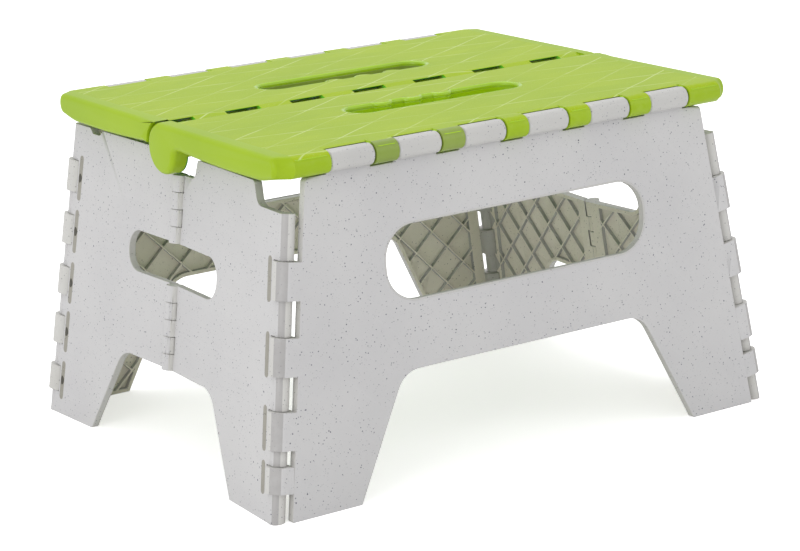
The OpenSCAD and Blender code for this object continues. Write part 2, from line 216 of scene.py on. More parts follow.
class PlasticEffects:
    """The shader node groups that the mouldings' plastics share."""

    def __init__(self) -> None:
        """Builds every group once."""
        self.specks = self._specks()
        self.moulding = self._moulding()
        self.lattice = self._lattice()

    def _specks(self) -> bpy.types.NodeTree:
        """Dark straw specks: a spot round some of the points of a random cell pattern.

        Returns:
            The group. Mask is 1 in a speck, whose radius is Size times a random share of a cell.
        """
        pins = Pins({"Cells": 400.0, "Size": 0.16, "Share": 0.5}, ("Mask",))
        graph, given, out = new_group("Specks", pins)
        place = graph.add("ShaderNodeTexCoord").outputs["Object"]
        bend = graph.add("ShaderNodeMapping")
        bend.inputs["Rotation"].default_value = (0.3, 0.5, 0.2)
        graph.link(place, bend.inputs["Vector"])
        cells = graph.add("ShaderNodeTexVoronoi", feature="F1")
        graph.link(bend.outputs[0], cells.inputs["Vector"])
        graph.link(given["Cells"], cells.inputs["Scale"])
        parts = graph.add("ShaderNodeSeparateColor")
        graph.link(cells.outputs["Color"], parts.inputs[0])
        chosen = graph.maths("LESS_THAN", parts.outputs[0], given["Share"])
        random_size = graph.maths("MULTIPLY_ADD", parts.outputs[1], 0.7, 0.3)
        radius = graph.maths("MULTIPLY", given["Size"], random_size)
        ragged = graph.noise(place, graph.maths("MULTIPLY", given["Cells"], 6.0), 1.0)
        far = graph.maths("MULTIPLY", cells.outputs["Distance"], graph.maths("ADD", ragged, 0.5))
        spot = graph.step(far, graph.maths("MULTIPLY", radius, 0.55), radius, 1.0, 0.0)
        graph.link(graph.maths("MULTIPLY", spot, chosen), out["Mask"])
        return graph.tree

    def _moulding(self) -> bpy.types.NodeTree:
        """Moulded surface: slow tone drift, orange-peel height, and a mask of sharp outer edges, in
        patches, that are painted paler.

        Returns:
            The group. Tone is about 1, Peel is a height from 0 to 1, and the edge mask is 1 on sharp outer
            edges.
        """
        pins = Pins({"Drift": 14.0, "Drift depth": 0.06, "Peel scale": 900.0, "Edge paling": 0.5},
                    ("Tone", "Peel", "Pale edges"))
        graph, given, out = new_group("MouldedSurface", pins)
        place = graph.add("ShaderNodeTexCoord").outputs["Object"]
        cloud = graph.maths("SUBTRACT", graph.noise(place, given["Drift"], 3.0), 0.5)
        graph.link(graph.maths("MULTIPLY_ADD", cloud, given["Drift depth"], 1.0), out["Tone"])
        graph.link(graph.noise(place, given["Peel scale"], 2.0), out["Peel"])
        edge = graph.step(graph.add("ShaderNodeNewGeometry").outputs["Pointiness"], 0.53, 0.62)
        patch = graph.step(graph.noise(place, 160.0, 3.0), 0.4, 0.7)
        pale_edges = graph.maths("MULTIPLY", edge, patch)
        graph.link(graph.maths("MULTIPLY", pale_edges, given["Edge paling"]), out["Pale edges"])
        return graph.tree

    def _lattice(self) -> bpy.types.NodeTree:
        """Two families of thin parallel lines that cross, each a band round whole steps of u = ax + by.

        Returns:
            The group. Lines is 1 on a line, and Cell is a random number for each field between them.
        """
        pins = Pins({"Pitch one": 0.03, "Pitch two": 0.045, "Slope one": 0.3, "Slope two": -0.9,
                     "Width": 0.04, "Bend": 0.002, "Height share": 0.0}, ("Lines", "Cell"))
        graph, given, out = new_group("Lattice", pins)
        place = graph.add("ShaderNodeTexCoord").outputs["Object"]
        parts = graph.add("ShaderNodeSeparateXYZ")
        graph.link(place, parts.inputs[0])
        along, across, high = parts.outputs
        sway = graph.maths("SUBTRACT", graph.noise(place, 16.0, 1.0), 0.5)
        flat = graph.maths("SUBTRACT", 1.0, given["Height share"])
        level = graph.maths("ADD", graph.maths("MULTIPLY", across, flat),
                            graph.maths("MULTIPLY", high, given["Height share"]))
        families = []
        for name in ("one", "two"):
            slanted = graph.maths("MULTIPLY_ADD", along, given[f"Slope {name}"], level)
            swayed = graph.maths("MULTIPLY_ADD", sway, given["Bend"], slanted)
            turns = graph.maths("DIVIDE", swayed, given[f"Pitch {name}"])
            share = graph.maths("FRACT", turns)
            families.append((share, graph.maths("FLOOR", turns)))
        bands = []
        for share, _ in families:
            off = graph.maths("ABSOLUTE", graph.maths("SUBTRACT", share, 0.5))
            bands.append(graph.step(off, given["Width"], 0.0, 0.0, 1.0))
        graph.link(graph.maths("MAXIMUM", *bands), out["Lines"])
        cell = graph.add("ShaderNodeTexWhiteNoise", noise_dimensions="2D")
        joined = graph.add("ShaderNodeCombineXYZ")
        graph.link(families[0][1], joined.inputs[0])
        graph.link(families[1][1], joined.inputs[1])
        graph.link(joined.outputs[0], cell.inputs["Vector"])
        graph.link(cell.outputs["Value"], out["Cell"])
        return graph.tree


SPECK_SIZES = ((430.0, 0.24, 0.75, 0.8), (200.0, 0.13, 0.75, 1.0), (800.0, 0.30, 0.5, 0.35))


@dataclass(frozen=True)
class Finish:
    """A moulded plastic: its colours, gloss and the strength of what lies in its surface.

    Specks are straw grains in the plastic, lattice lines are the fine moulded lines or the ghosts of the
    ribs behind, and peel is the faint unevenness that a satin moulding has. Where the line colour is paler
    than the plastic, the lines and dots carry painted highlight.
    """

    name: str
    colour: Colour
    deep: Colour
    roughness: float = 0.45
    coat: float = 0.0
    peel: float = 0.08
    drift: float = 0.06
    edge_paling: float = 0.05
    specks: float = 0.0
    speck_colour: Colour = (0.0, 0.0, 0.0, 1.0)
    lines: float = 0.0
    line_colour: Colour = (1.0, 1.0, 1.0, 1.0)
    line_height: float = 0.0
    lattice: dict[str, float] = field(default_factory=dict)
    cells: float = 0.0
    dots: float = 0.0
    specular: float = 0.5

    def build(self, effects: PlasticEffects) -> bpy.types.Material:
        """Builds the material from the shared groups.

        Args:
            effects: The node groups.

        Returns:
            The material.
        """
        material = bpy.data.materials.new(self.name)
        material.use_nodes = True
        graph = Graph(material.node_tree)
        shader = material.node_tree.nodes["Principled BSDF"]
        surface = self._use(graph, effects.moulding, {"Drift depth": 1.0, "Edge paling": self.edge_paling})
        tone = graph.step(surface.outputs["Tone"], 0.75, 1.25)
        colour = graph.blend(graph.maths("MULTIPLY", tone, self.drift * 8.0), self.colour, self.deep)
        # Sharp outer edges are painted paler, in patches, towards the line colour.
        colour = graph.blend(surface.outputs["Pale edges"], colour, self.line_colour)
        height: object = graph.maths("MULTIPLY", surface.outputs["Peel"], self.peel)
        rough: object = graph.maths("MULTIPLY_ADD", surface.outputs["Peel"], 0.1, self.roughness - 0.05)
        if self.lines > 0.0 or self.cells > 0.0:
            net = self._use(graph, effects.lattice, self.lattice)
            if self.cells > 0.0:
                field_tone = graph.maths("MULTIPLY", net.outputs["Cell"], self.cells)
                colour = graph.blend(field_tone, colour, self.deep)
            # Painted highlight along the lattice lines, stronger in patches.
            patch = graph.step(graph.noise(graph.add("ShaderNodeTexCoord").outputs["Object"], 26.0, 2.0),
                               0.42, 0.62, 0.25, 1.0)
            drawn = graph.maths("MULTIPLY", net.outputs["Lines"], patch)
            colour = graph.blend(graph.maths("MULTIPLY", drawn, self.lines), colour, self.line_colour)
            height = graph.maths("MULTIPLY_ADD", net.outputs["Lines"], self.line_height, height)
        if self.dots > 0.0:
            dots = self._use(graph, effects.specks, {"Cells": 620.0, "Size": 0.34, "Share": 1.0})
            height = graph.maths("MULTIPLY_ADD", dots.outputs["Mask"], self.dots, height)
            # The dots are painted slightly paler: painted highlight on their bumps.
            mask = graph.maths("MULTIPLY", dots.outputs["Mask"], 0.10)
            colour = graph.blend(mask, colour, self.line_colour)
        if self.specks > 0.0:
            for cells, size, share, power in SPECK_SIZES:
                spots = self._use(graph, effects.specks, {"Cells": cells, "Size": size, "Share": share})
                mask = graph.maths("MULTIPLY", spots.outputs["Mask"], self.specks * power)
                colour = graph.blend(mask, colour, self.speck_colour)
        graph.link(colour, shader.inputs["Base Color"])
        graph.link(rough, shader.inputs["Roughness"])
        shader.inputs["Specular IOR Level"].default_value = self.specular
        shader.inputs["Coat Weight"].default_value = self.coat
        shader.inputs["Coat Roughness"].default_value = 0.2
        bump = graph.add("ShaderNodeBump")
        bump.inputs["Strength"].default_value = 0.5
        bump.inputs["Distance"].default_value = 0.4 * MM
        graph.link(height, bump.inputs["Height"])
        graph.link(bump.outputs[0], shader.inputs["Normal"])
        return material

    def _use(self, graph: Graph, tree: bpy.types.NodeTree, values: dict[str, float]) -> bpy.types.Node:
        """Places a group in the material with its own values."""
        node = graph.add("ShaderNodeGroup", node_tree=tree)
        for name, value in values.items():
            node.inputs[name].default_value = value
        return node


LIME_LINES = {"Pitch one": 0.030, "Pitch two": 0.034, "Slope one": 0.16, "Slope two": -0.60,
              "Width": 0.03, "Bend": 0.006}
GHOST_LINES = {"Pitch one": 0.028, "Pitch two": 0.028, "Slope one": 0.9, "Slope two": -0.9,
               "Width": 0.05, "Bend": 0.001, "Height share": 1.0}

# The deck's whitish line colour is painted highlight on its moulded lines and dots.
LIME_DECK = Finish("LimeDeck", linear(167, 192, 10), linear(150, 180, 6), roughness=0.42, coat=0.05,
                   lines=0.5, line_colour=linear(232, 244, 190), line_height=0.5, lattice=LIME_LINES,
                   cells=0.45, dots=0.14, specular=0.17)
LIME_RIM = Finish("LimeRim", linear(164, 204, 6), linear(146, 188, 4), roughness=0.25, coat=0.3,
                  line_colour=linear(225, 242, 150))
LIME_SIDE = Finish("LimeSide", linear(158, 188, 18), linear(142, 174, 8), roughness=0.4, specular=0.3,
                   line_colour=linear(220, 238, 160))
# Painted shade: the lime halves' underside is coloured the darker, bluer green that the lime plastic shows
# in shade.
LIME_UNDER_SHADE = Finish("LimeUnderShade", linear(96, 170, 52), linear(70, 140, 40), roughness=0.5,
                    line_colour=linear(150, 190, 80))
# Painted shade: the green that the centre joint's deep slits show in shade, also laid on the tongues' tails
# beside them to widen the slits.
LIME_SLIT_SHADE = Finish("LimeSlitShade", linear(124, 212, 54), linear(98, 192, 44), roughness=0.5, specular=0.2,
                   line_colour=linear(120, 180, 70))
# Painted shade on the lime: a dark reflection that dulls two front knuckles to olive, and the shade deep in
# the rear hand hole's wall.
LIME_PAINTED_SHADE = Finish("LimePaintedShade", linear(138, 160, 60), linear(120, 144, 46), roughness=0.35, coat=0.1,
                   line_colour=linear(185, 200, 130))
STRAW_SHADE = Finish("StrawShade", linear(158, 155, 146), linear(140, 137, 126), roughness=0.6,
                     specks=0.8, speck_colour=linear(60, 60, 62), line_colour=linear(190, 188, 180))
# Painted shade: the deeper shade of the small eye in each rear corner window.
STRAW_DEEP_SHADE = Finish("StrawDeepShade", linear(84, 82, 74), linear(62, 60, 52), roughness=0.7,
                    line_colour=linear(120, 118, 108))
# The show faces' paler ghost lines of the ribs behind are painted reflection.
STRAW_SHOW = Finish("StrawShow", linear(203, 202, 202), linear(190, 189, 191), roughness=0.5,
                    specks=1.0, speck_colour=linear(58, 62, 84), lines=0.05,
                    line_colour=linear(226, 225, 224), lattice=GHOST_LINES, cells=0.12)
# Painted shade on the speckled plastic: the corner hinges' faces that turn part way from the show side are
# coloured darker.
STRAW_CORNER_SHADE = Finish("StrawCornerShade", linear(174, 172, 171), linear(156, 154, 154), roughness=0.4, coat=0.2,
                   specks=0.4, speck_colour=linear(96, 94, 104))
STRAW_RIM = Finish("StrawRim", linear(198, 197, 194), linear(184, 183, 182), roughness=0.35, coat=0.15,
                   specks=0.8, speck_colour=linear(70, 74, 95), line_colour=linear(238, 238, 238))
STRAW_EDGE = Finish("StrawEdge", linear(204, 203, 200), linear(190, 188, 182), roughness=0.5,
                    specks=0.8, speck_colour=linear(70, 72, 80), line_colour=linear(222, 221, 214))
# Painted light: the panels' inner faces are coloured paler and warmer than the straw plastic, for the
# bounce light and warm cast inside the hollow.
STRAW_INSIDE_BOUNCE = Finish("StrawInsideBounce", linear(252, 247, 232), linear(240, 234, 216), roughness=0.6,
                      specks=0.7, speck_colour=linear(80, 76, 72), line_colour=linear(205, 200, 182))


@dataclass
class EdgeField:
    """The edges of a mesh as arrays: their end points and how sharply each stands out."""

    start: np.ndarray
    end: np.ndarray
    sharp: np.ndarray

    def middle(self) -> np.ndarray:
        """The middle point of every edge."""
        return 0.5 * (self.start + self.end)


def read_values(items: bpy.types.bpy_prop_collection, name: str, size: int = 3,
                kind: type = float) -> np.ndarray:
    """One property of every item, as an array with a row for each, or flat where the size is 1."""
    values = np.empty(len(items) * size, kind)
    items.foreach_get(name, values)
    return values.reshape(-1, size) if size > 1 else values


def merge_points(mesh: bpy.types.Mesh, clean: bool = False) -> None:
    """Joins points that lie on each other and, if asked, drops what has no area."""
    work = bmesh.new()
    work.from_mesh(mesh)
    bmesh.ops.remove_doubles(work, verts=work.verts, dist=SAME)
    if clean:
        bmesh.ops.dissolve_degenerate(work, edges=work.edges, dist=SAME)
    work.to_mesh(mesh)
    work.free()


def read_edges(mesh: bpy.types.Mesh) -> EdgeField:
    """Reads a mesh's edges as arrays.

    The angle of an edge is the arc cosine of its two faces' normals, and it counts as sharp where the
    second face's middle lies behind the first face's plane, so that the edge stands out.

    Args:
        mesh: The mesh, whose edges have two faces or one.

    Returns:
        The edges, with their angle in radians, or 0 where they are hollow or open.
    """
    normals = read_values(mesh.polygons, "normal")
    middles = read_values(mesh.polygons, "center")
    sizes = read_values(mesh.polygons, "loop_total", 1, int)
    loop_edges = read_values(mesh.loops, "edge_index", 1, int)
    faces = np.repeat(np.arange(len(sizes)), sizes)
    order = np.argsort(loop_edges, kind="stable")
    counts = np.bincount(loop_edges, minlength=len(mesh.edges))
    first = np.cumsum(counts) - counts
    paired = counts == 2
    one, two = faces[order][first[paired]], faces[order][first[paired] + 1]
    turn = np.arccos(np.clip(np.sum(normals[one] * normals[two], axis=1), -1.0, 1.0))
    behind = np.sum(normals[one] * (middles[two] - middles[one]), axis=1) < 0.0
    sharp = np.zeros(len(mesh.edges))
    sharp[paired] = np.where(behind, turn, 0.0)
    ends = read_values(mesh.vertices, "co")[read_values(mesh.edges, "vertices", 2, int)]
    return EdgeField(ends[:, 0], ends[:, 1], sharp)


def arc(across: float, up: float, radius: float, start: float, end: float, count: int) -> np.ndarray:
    """Points round a circle: centre plus radius times (cosine, sine) of evenly spaced angles."""
    angle = np.linspace(start, end, count)
    return np.stack([across + radius * np.cos(angle), up + radius * np.sin(angle)], axis=-1)


def quarter_round(radius: float, count: int) -> tuple[np.ndarray, np.ndarray]:
    """The heights and insets of a quarter-round edge: radius times sine, and radius times 1 - cosine."""
    angle = np.linspace(0.0, np.pi / 2, count)
    return radius * np.sin(angle), radius * (1.0 - np.cos(angle))


def inset_outline(outline: np.ndarray, inset: np.ndarray, share: np.ndarray | float = 1.0) -> np.ndarray:
    """Moves a closed outline inwards by several distances.

    The way inwards at a point is square to the line from its neighbour before to the one after.

    Args:
        outline: The points (n, 2), anticlockwise or clockwise.
        inset: The distances (m,).
        share: The part of them that each point moves (n,).

    Returns:
        The moved outlines (m, n, 2).
    """
    run = np.roll(outline, -1, axis=0) - np.roll(outline, 1, axis=0)
    run /= np.linalg.norm(run, axis=1, keepdims=True)
    area = np.sum(outline[:, 0] * np.roll(outline[:, 1], -1) - outline[:, 1] * np.roll(outline[:, 0], -1))
    inward = np.stack([-run[:, 1], run[:, 0]], axis=-1) * math.copysign(1.0, area)
    return outline[None] + inset[:, None, None] * (inward * np.reshape(share, (-1, 1)))[None]


def ring_faces(rows: int, columns: int) -> np.ndarray:
    """The faces (n, 4) between rows of points, where the last column joins the first."""
    row, column = np.meshgrid(np.arange(rows - 1), np.arange(columns), indexing="ij")
    after = (column + 1) % columns
    quads = np.stack([row * columns + column, row * columns + after,
                      (row + 1) * columns + after, (row + 1) * columns + column], axis=-1)
    return quads.reshape(-1, 4)


def new_mesh(name: str, points: np.ndarray, faces: list[list[int]]) -> bpy.types.Mesh:
    """Makes a mesh of points and faces."""
    mesh = bpy.data.meshes.new(name)
    mesh.from_pydata(points.reshape(-1, 3).tolist(), [], faces)
    mesh.update()
    return mesh


def add_object(name: str, data: bpy.types.ID) -> bpy.types.Object:
    """Makes an object at the origin and puts it in the scene."""
    obj = bpy.data.objects.new(name, data)
    bpy.context.scene.collection.objects.link(obj)
    return obj


def plate_mesh(name: str, outline: np.ndarray, levels: np.ndarray, inset: np.ndarray,
               share: np.ndarray | float = 1.0) -> bpy.types.Mesh:
    """Makes a closed plate: rings of the outline, each at its level and inset, and a flat face at each end.

    Args:
        name: The mesh's name.
        outline: The closed outline (n, 2), as (across, up).
        levels: The rings' heights (m,), rising.
        inset: The rings' insets (m,).
        share: The part of the insets that each point takes (n,).

    Returns:
        The mesh, with the outline in x and y and the levels in z.
    """
    rings = inset_outline(outline, inset, share)
    count = len(outline)
    heights = np.broadcast_to(levels[:, None, None], rings.shape[:2] + (1,))
    last = (len(levels) - 1) * count
    faces = [*ring_faces(len(levels), count).tolist(), list(range(count))[::-1],
             list(range(last, last + count))]
    return new_mesh(name, np.concatenate([rings, heights], axis=-1), faces)


def finish_piece(mesh: bpy.types.Mesh, materials: list[bpy.types.Material], body: str,
                 crease: float) -> bpy.types.Object:
    """Makes a piece of a mesh that is in place: faces outwards, smooth, dressed and riding on its body.

    Args:
        mesh: The mesh, already in its place in the frame.
        materials: Its materials.
        body: The CAD body that carries it.
        crease: The angle in degrees past which an edge stays sharp.

    Returns:
        The new object.
    """
    work = bmesh.new()
    work.from_mesh(mesh)
    bmesh.ops.recalc_face_normals(work, faces=work.faces)
    work.to_mesh(mesh)
    work.free()
    mesh.shade_smooth()
    mesh.set_sharp_from_angle(angle=math.radians(crease))
    for material in materials:
        mesh.materials.append(material)
    obj = add_object(mesh.name, mesh)
    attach(obj, body)
    LOG.info("%s: %d faces", obj.name, len(mesh.polygons))
    return obj


@dataclass
class Moulding:
    """One moulded part: a merged copy of its CAD node with soft edges and a finish for each zone.

    Lengths are in metres and angles in degrees. Edges count as sharp for the wide rounding from
    wide_from and for the slight one from soft_from. A corner hinge's faces lie no further than
    corner_reach inside corner_place (x, y, z), whose x and y grow by corner_slopes on the way down.
    The other limits are values of facing, as in zones.
    """

    node: str
    side: Side
    slot: str = "speckled_plastic"
    soft: float = 0.5 * MM
    wide: float = 1.6 * MM
    wide_steps: int = 4
    wide_from: float = 20.0
    soft_from: float = 35.0
    soft_clear: float = 2.2
    crease: float = 30.0
    inside_to: float = -0.3
    painted_shade_from: float = 0.30
    show_from: float = 0.6
    level_from: float = 0.93
    corner_place: Triple = (0.156, 0.132, 0.2124)
    corner_slopes: tuple[float, float] = (0.1445, 0.0699)
    corner_reach: float = 0.008

    def finishes(self) -> tuple[Finish, ...]:
        """The finishes of the zones, in their order."""
        return STRAW_SHOW, STRAW_RIM, STRAW_EDGE, STRAW_INSIDE_BOUNCE, STRAW_CORNER_SHADE

    def shares(self, edges: EdgeField) -> np.ndarray:
        """How much of the wide rounding each edge gets, from 0 to 1."""
        return np.zeros(len(edges.start))

    def softens(self, edges: EdgeField) -> np.ndarray:
        """Which edges may get the slight rounding."""
        return np.ones(len(edges.start), bool)

    def build(self, materials: Materials) -> bpy.types.Object:
        """Makes the moulding and lets it stand for its CAD node.

        Args:
            materials: The materials by the finishes' names.

        Returns:
            The new object.
        """
        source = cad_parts[self.node]
        mesh = source.data.copy()
        mesh.name = f"{self.node}_moulding"
        mesh.materials.clear()
        obj = add_object(f"{self.node}_moulding", mesh)
        self._merge(mesh)
        for finish in self.finishes():
            mesh.materials.append(materials[finish.name])
        self._paint_zones(mesh)
        self._round_edges(obj)
        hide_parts(self.node)
        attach(obj, self.node)
        LOG.info("%s: %d faces before rounding", obj.name, len(mesh.polygons))
        return obj

    def _merge(self, mesh: bpy.types.Mesh) -> None:
        """Joins doubled points and makes the part's own changes of shape."""
        work = bmesh.new()
        work.from_mesh(mesh)
        bmesh.ops.remove_doubles(work, verts=work.verts, dist=2e-6)
        self.reshape(work)
        work.to_mesh(mesh)
        work.free()
        mesh.shade_smooth()

    def reshape(self, work: bmesh.types.BMesh) -> None:
        """Changes the merged shape before its edges are rounded. A plain moulding keeps it."""

    def _paint_zones(self, mesh: bpy.types.Mesh) -> None:
        """Gives every face its zone from its direction and its place."""
        facing = read_values(mesh.polygons, "normal") @ self.side.vector()
        zones = self.zones(facing, read_values(mesh.polygons, "center"))
        mesh.polygons.foreach_set("material_index", zones.astype(np.int32))

    def zones(self, facing: np.ndarray, middles: np.ndarray) -> np.ndarray:
        """The zone of each face.

        Args:
            facing: How far each face looks the show side's way, from -1 to 1.
            middles: The faces' middle points.

        Returns:
            The zones' numbers.
        """
        zones = np.full(len(facing), Zone.EDGE.value)
        zones[facing < self.inside_to] = Zone.INSIDE.value
        zones[facing > self.show_from] = Zone.SHOW.value
        corner = self.near_corner(middles)
        zones[corner & (facing <= self.show_from)] = Zone.EDGE.value
        # Corner hinge faces turned part way from the show side get painted shade.
        if self.slot == "speckled_plastic":
            zones[corner & (facing > self.painted_shade_from) & (facing < self.level_from)] = Zone.PAINTED_SHADE.value
        return zones

    def near_corner(self, middles: np.ndarray) -> np.ndarray:
        """Which faces belong to a hinge at the moulding's edge, whose back shows as well."""
        lower = self.corner_place[2] - middles[:, 2]
        along_x = np.abs(middles[:, 0]) - self.corner_place[0] - lower * self.corner_slopes[0]
        along_y = np.abs(middles[:, 1]) - self.corner_place[1] - lower * self.corner_slopes[1]
        return (along_x > -self.corner_reach) & (along_y > -self.corner_reach)

    def _round_edges(self, obj: bpy.types.Object) -> None:
        """Rounds the named edges wide and all other sharp outer edges slightly."""
        edges = read_edges(obj.data)
        wide = self.shares(edges) * (edges.sharp > math.radians(self.wide_from))
        clear = self._clear_length(obj.data)
        soft = (edges.sharp > math.radians(self.soft_from)) & (clear > self.soft_clear * self.soft)
        soft &= self.softens(edges)
        shares = np.maximum(np.where(soft, self.soft / self.wide, 0.0), wide)
        weights = obj.data.attributes.new("bevel_weight_edge", "FLOAT", "EDGE")
        weights.data.foreach_set("value", shares.astype(np.float32))
        bevel = obj.modifiers.new("RoundedEdges", "BEVEL")
        bevel.limit_method = "WEIGHT"
        bevel.width = self.wide
        bevel.segments = self.wide_steps
        bevel.use_clamp_overlap = False
        bevel.miter_outer = "MITER_SHARP"
        bevel.face_strength_mode = "FSTR_ALL"
        even = obj.modifiers.new("EvenShading", "WEIGHTED_NORMAL")
        even.keep_sharp = True
        even.use_face_influence = True
        obj.data.set_sharp_from_angle(angle=math.radians(self.crease))

    def _clear_length(self, mesh: bpy.types.Mesh) -> np.ndarray:
        """The shortest edge that meets either end of each edge, in metres."""
        pairs = read_values(mesh.edges, "vertices", 2, int)
        ends = read_values(mesh.vertices, "co")[pairs]
        length = np.linalg.norm(ends[:, 0] - ends[:, 1], axis=1)
        shortest = np.full(len(mesh.vertices), np.inf)
        np.minimum.at(shortest, pairs.ravel(), np.repeat(length, 2))
        return shortest[pairs].min(axis=1)


@dataclass
class TopHalf(Moulding):
    """One half of the walking surface, with its hand hole and the knuckles of both hinges.

    hole_zone is the half length in x and the range in y of the hand hole's walls. The knuckles' range in x
    and lowest z marks the two knuckles in painted dark reflection. tail_zone is the range along the half
    and the lowest z of the slits behind the lobes, whose painted shade reaches onto the tongues' tails.
    """

    slot: str = "green_plastic"
    level: float = 0.220
    skirt: float = 0.0178
    skirt_near: float = 0.0150
    half_length: float = 0.168
    cap: float = 7.0 * MM
    hinge_y: float = 0.141
    hinge_z: float = 0.213
    knuckle: float = 7.0 * MM
    centre_z: float = 0.2035
    lobe: float = 16.5 * MM
    fillet: float = 5.5 * MM
    gap: float = 1.3 * MM
    cap_round: tuple[float, float] = (3.6 * MM, 3.2 * MM)
    tongue: float = 6.4 * MM
    sink: float = 1.8 * MM
    sink_from: float = 0.210
    sink_over: float = 0.006
    corner: float = 8.0 * MM
    bright: float = 3.4 * MM
    hole_y: float = 54.5 * MM
    hole_run: float = 53.0 * MM
    hole_reach: float = 12.6 * MM
    flare: float = 2.4 * MM
    at_deck: float = 0.1 * MM
    brink: float = 137.8 * MM
    brink_back: float = 133.5 * MM
    edge_reach: float = 0.008
    hole_zone: Triple = (0.066, 0.042, 0.067)
    wall_to: float = 0.7
    painted_shade_knuckles: Triple = (-0.110, -0.030, 0.2005)
    joint_from: float = 0.19
    tail_zone: Triple = (-0.0004, 0.0166, 0.2115)
    arch_at: float = 0.62
    arch_end: float = 0.16
    hollow_to: float = 0.019
    hollow_fade: float = 0.004
    hollow_share: float = 0.15
    corner_from: float = 0.112
    corner_over: float = 0.034
    corner_share: float = 0.98

    def way(self) -> float:
        """1 for the rear half and -1 for the front half: the way from the centre to its own edge."""
        return 1.0 if self.node == "top_rear" else -1.0

    def reshape(self, work: bmesh.types.BMesh) -> None:
        """Cuts the ends off for their caps and changes the deck's edges.

        The tongues slope down to the centre joint, the recesses' deck edge moves back, and the hand
        hole's edge moves out by the flare. A point between the tongue's root and the joint sinks by the
        smooth step of its way along the tongue, times how far it is above the hinge.
        """
        cut = self.half_length - self.cap
        for place, normal, trim in (((-cut, 0.0, 0.0), (-1.0, 0.0, 0.0), True),
                                    ((cut, 0.0, 0.0), (1.0, 0.0, 0.0), True),
                                    ((0.0, self.way() * self.tongue, 0.0), (0.0, 1.0, 0.0), False),
                                    ((0.0, 0.0, self.level - self.bright), (0.0, 0.0, 1.0), False)):
            bmesh.ops.bisect_plane(work, geom=[*work.verts, *work.edges, *work.faces], dist=1e-6,
                                   plane_co=place, plane_no=normal, clear_outer=trim)
        mesh = bpy.data.meshes.new("scratch")
        work.to_mesh(mesh)
        points = read_values(mesh.vertices, "co")
        run = np.clip((self.tongue - self.way() * points[:, 1]) / self.tongue, 0.0, 1.0)
        high = np.clip((points[:, 2] - self.sink_from) / self.sink_over, 0.0, 1.0)
        points[:, 2] -= self.sink * run * run * (3.0 - 2.0 * run) * high
        deck = points[:, 2] > self.level - self.at_deck
        brink = (np.abs(np.abs(points[:, 1]) - self.brink) < 0.3 * MM) & deck
        points[brink, 1] = self.way() * self.brink_back
        middle = np.stack([np.clip(points[:, 0], -self.hole_run, self.hole_run),
                           np.full(len(points), self.way() * self.hole_y)], axis=-1)
        away = points[:, :2] - middle
        reach = np.linalg.norm(away, axis=1)
        lip = (reach < self.hole_reach) & (reach > 1.0 * MM) & deck
        points[lip, :2] += self.flare * away[lip] / reach[lip, None]
        mesh.vertices.foreach_set("co", points.ravel())
        work.clear()
        work.from_mesh(mesh)
        bpy.data.meshes.remove(mesh)

    def finishes(self) -> tuple[Finish, ...]:
        """The finishes of the zones, in their order."""
        return LIME_DECK, LIME_RIM, LIME_SIDE, LIME_UNDER_SHADE, LIME_PAINTED_SHADE, LIME_SLIT_SHADE

    def zones(self, facing: np.ndarray, middles: np.ndarray) -> np.ndarray:
        """The zone of each face: two of the front knuckles take a painted dark reflection, the rear hole's
        lower wall and the slits take painted shade, and hole walls are glossy.
        """
        zones = super().zones(facing, middles)
        along, across, high = middles.T
        far = np.abs(across)
        zones[(far > self.hinge_y - self.edge_reach) & (zones == Zone.INSIDE.value)] = Zone.EDGE.value
        half_run, near, beyond = self.hole_zone
        wall = (np.abs(along) < half_run) & (far > near) & (far < beyond) & (np.abs(facing) < self.wall_to)
        zones[wall] = Zone.RIM.value
        # Painted shade on the rear hole's wall below its lit upper band.
        if self.node == "top_rear":
            zones[wall & (high < self.level - self.bright)] = Zone.PAINTED_SHADE.value
        # Painted dark reflection: two front knuckles coloured dull olive.
        left, right, low = self.painted_shade_knuckles
        knuckles = (across < 1.0 * MM - self.hinge_y) & (along > left) & (along < right)
        zones[knuckles & (high > low)] = Zone.PAINTED_SHADE.value
        # Painted slit shade on the joint's slit faces and on the tongues' tails beside them.
        joint = (far < self.tongue) & (facing < self.level_from) & (high > self.joint_from)
        start, end, low = self.tail_zone
        tail = (self.way() * across < start) & (far < end) & (high > low)
        zones[(joint | tail) & (np.abs(along) < self.half_length - self.cap)] = Zone.SLIT.value
        return zones

    def lobe_outline(self) -> np.ndarray:
        """The end with the big hinge lobe, seen from its side, as points (s, z).

        s is the way from the centre hinge to the half's own edge. The line runs along the deck, round
        the lobe's circle, through a fillet that touches the circle and the skirt's lower edge, along
        that edge and round the knuckle.
        """
        low = self.level - self.skirt_near
        reach = self.lobe + self.fillet
        drop = low - self.fillet - self.centre_z
        root = math.sqrt(reach ** 2 - drop ** 2)
        touch = math.atan2(drop, root)
        lobe = arc(0.0, self.centre_z, self.lobe, math.pi / 2, 2 * math.pi + touch, 40)
        fillet = arc(root, low - self.fillet, self.fillet, math.pi + touch, math.pi / 2, 12)
        return np.concatenate([lobe, fillet, self._skirt_line(root), self._far_end(), self._deck_line(0.0)])

    def plain_outline(self) -> np.ndarray:
        """The end without a lobe: its line is hollow round the other half's lobe."""
        low = self.level - self.skirt_near
        hollow = self.lobe + self.gap
        start = math.acos((self.level - self.centre_z) / hollow)
        end = math.acos((low - self.centre_z) / hollow)
        cut = arc(0.0, self.centre_z, hollow, math.pi / 2 - start, math.pi / 2 - end, 16)
        line = self._skirt_line(cut[-1, 0])
        return np.concatenate([cut, line, self._far_end(), self._deck_line(cut[0, 0])])

    def _far_end(self) -> np.ndarray:
        """The half turn round the knuckle at the half's own edge, from below to the deck."""
        return arc(self.hinge_y, self.hinge_z, self.knuckle, -math.pi / 2, math.pi / 2, 18)

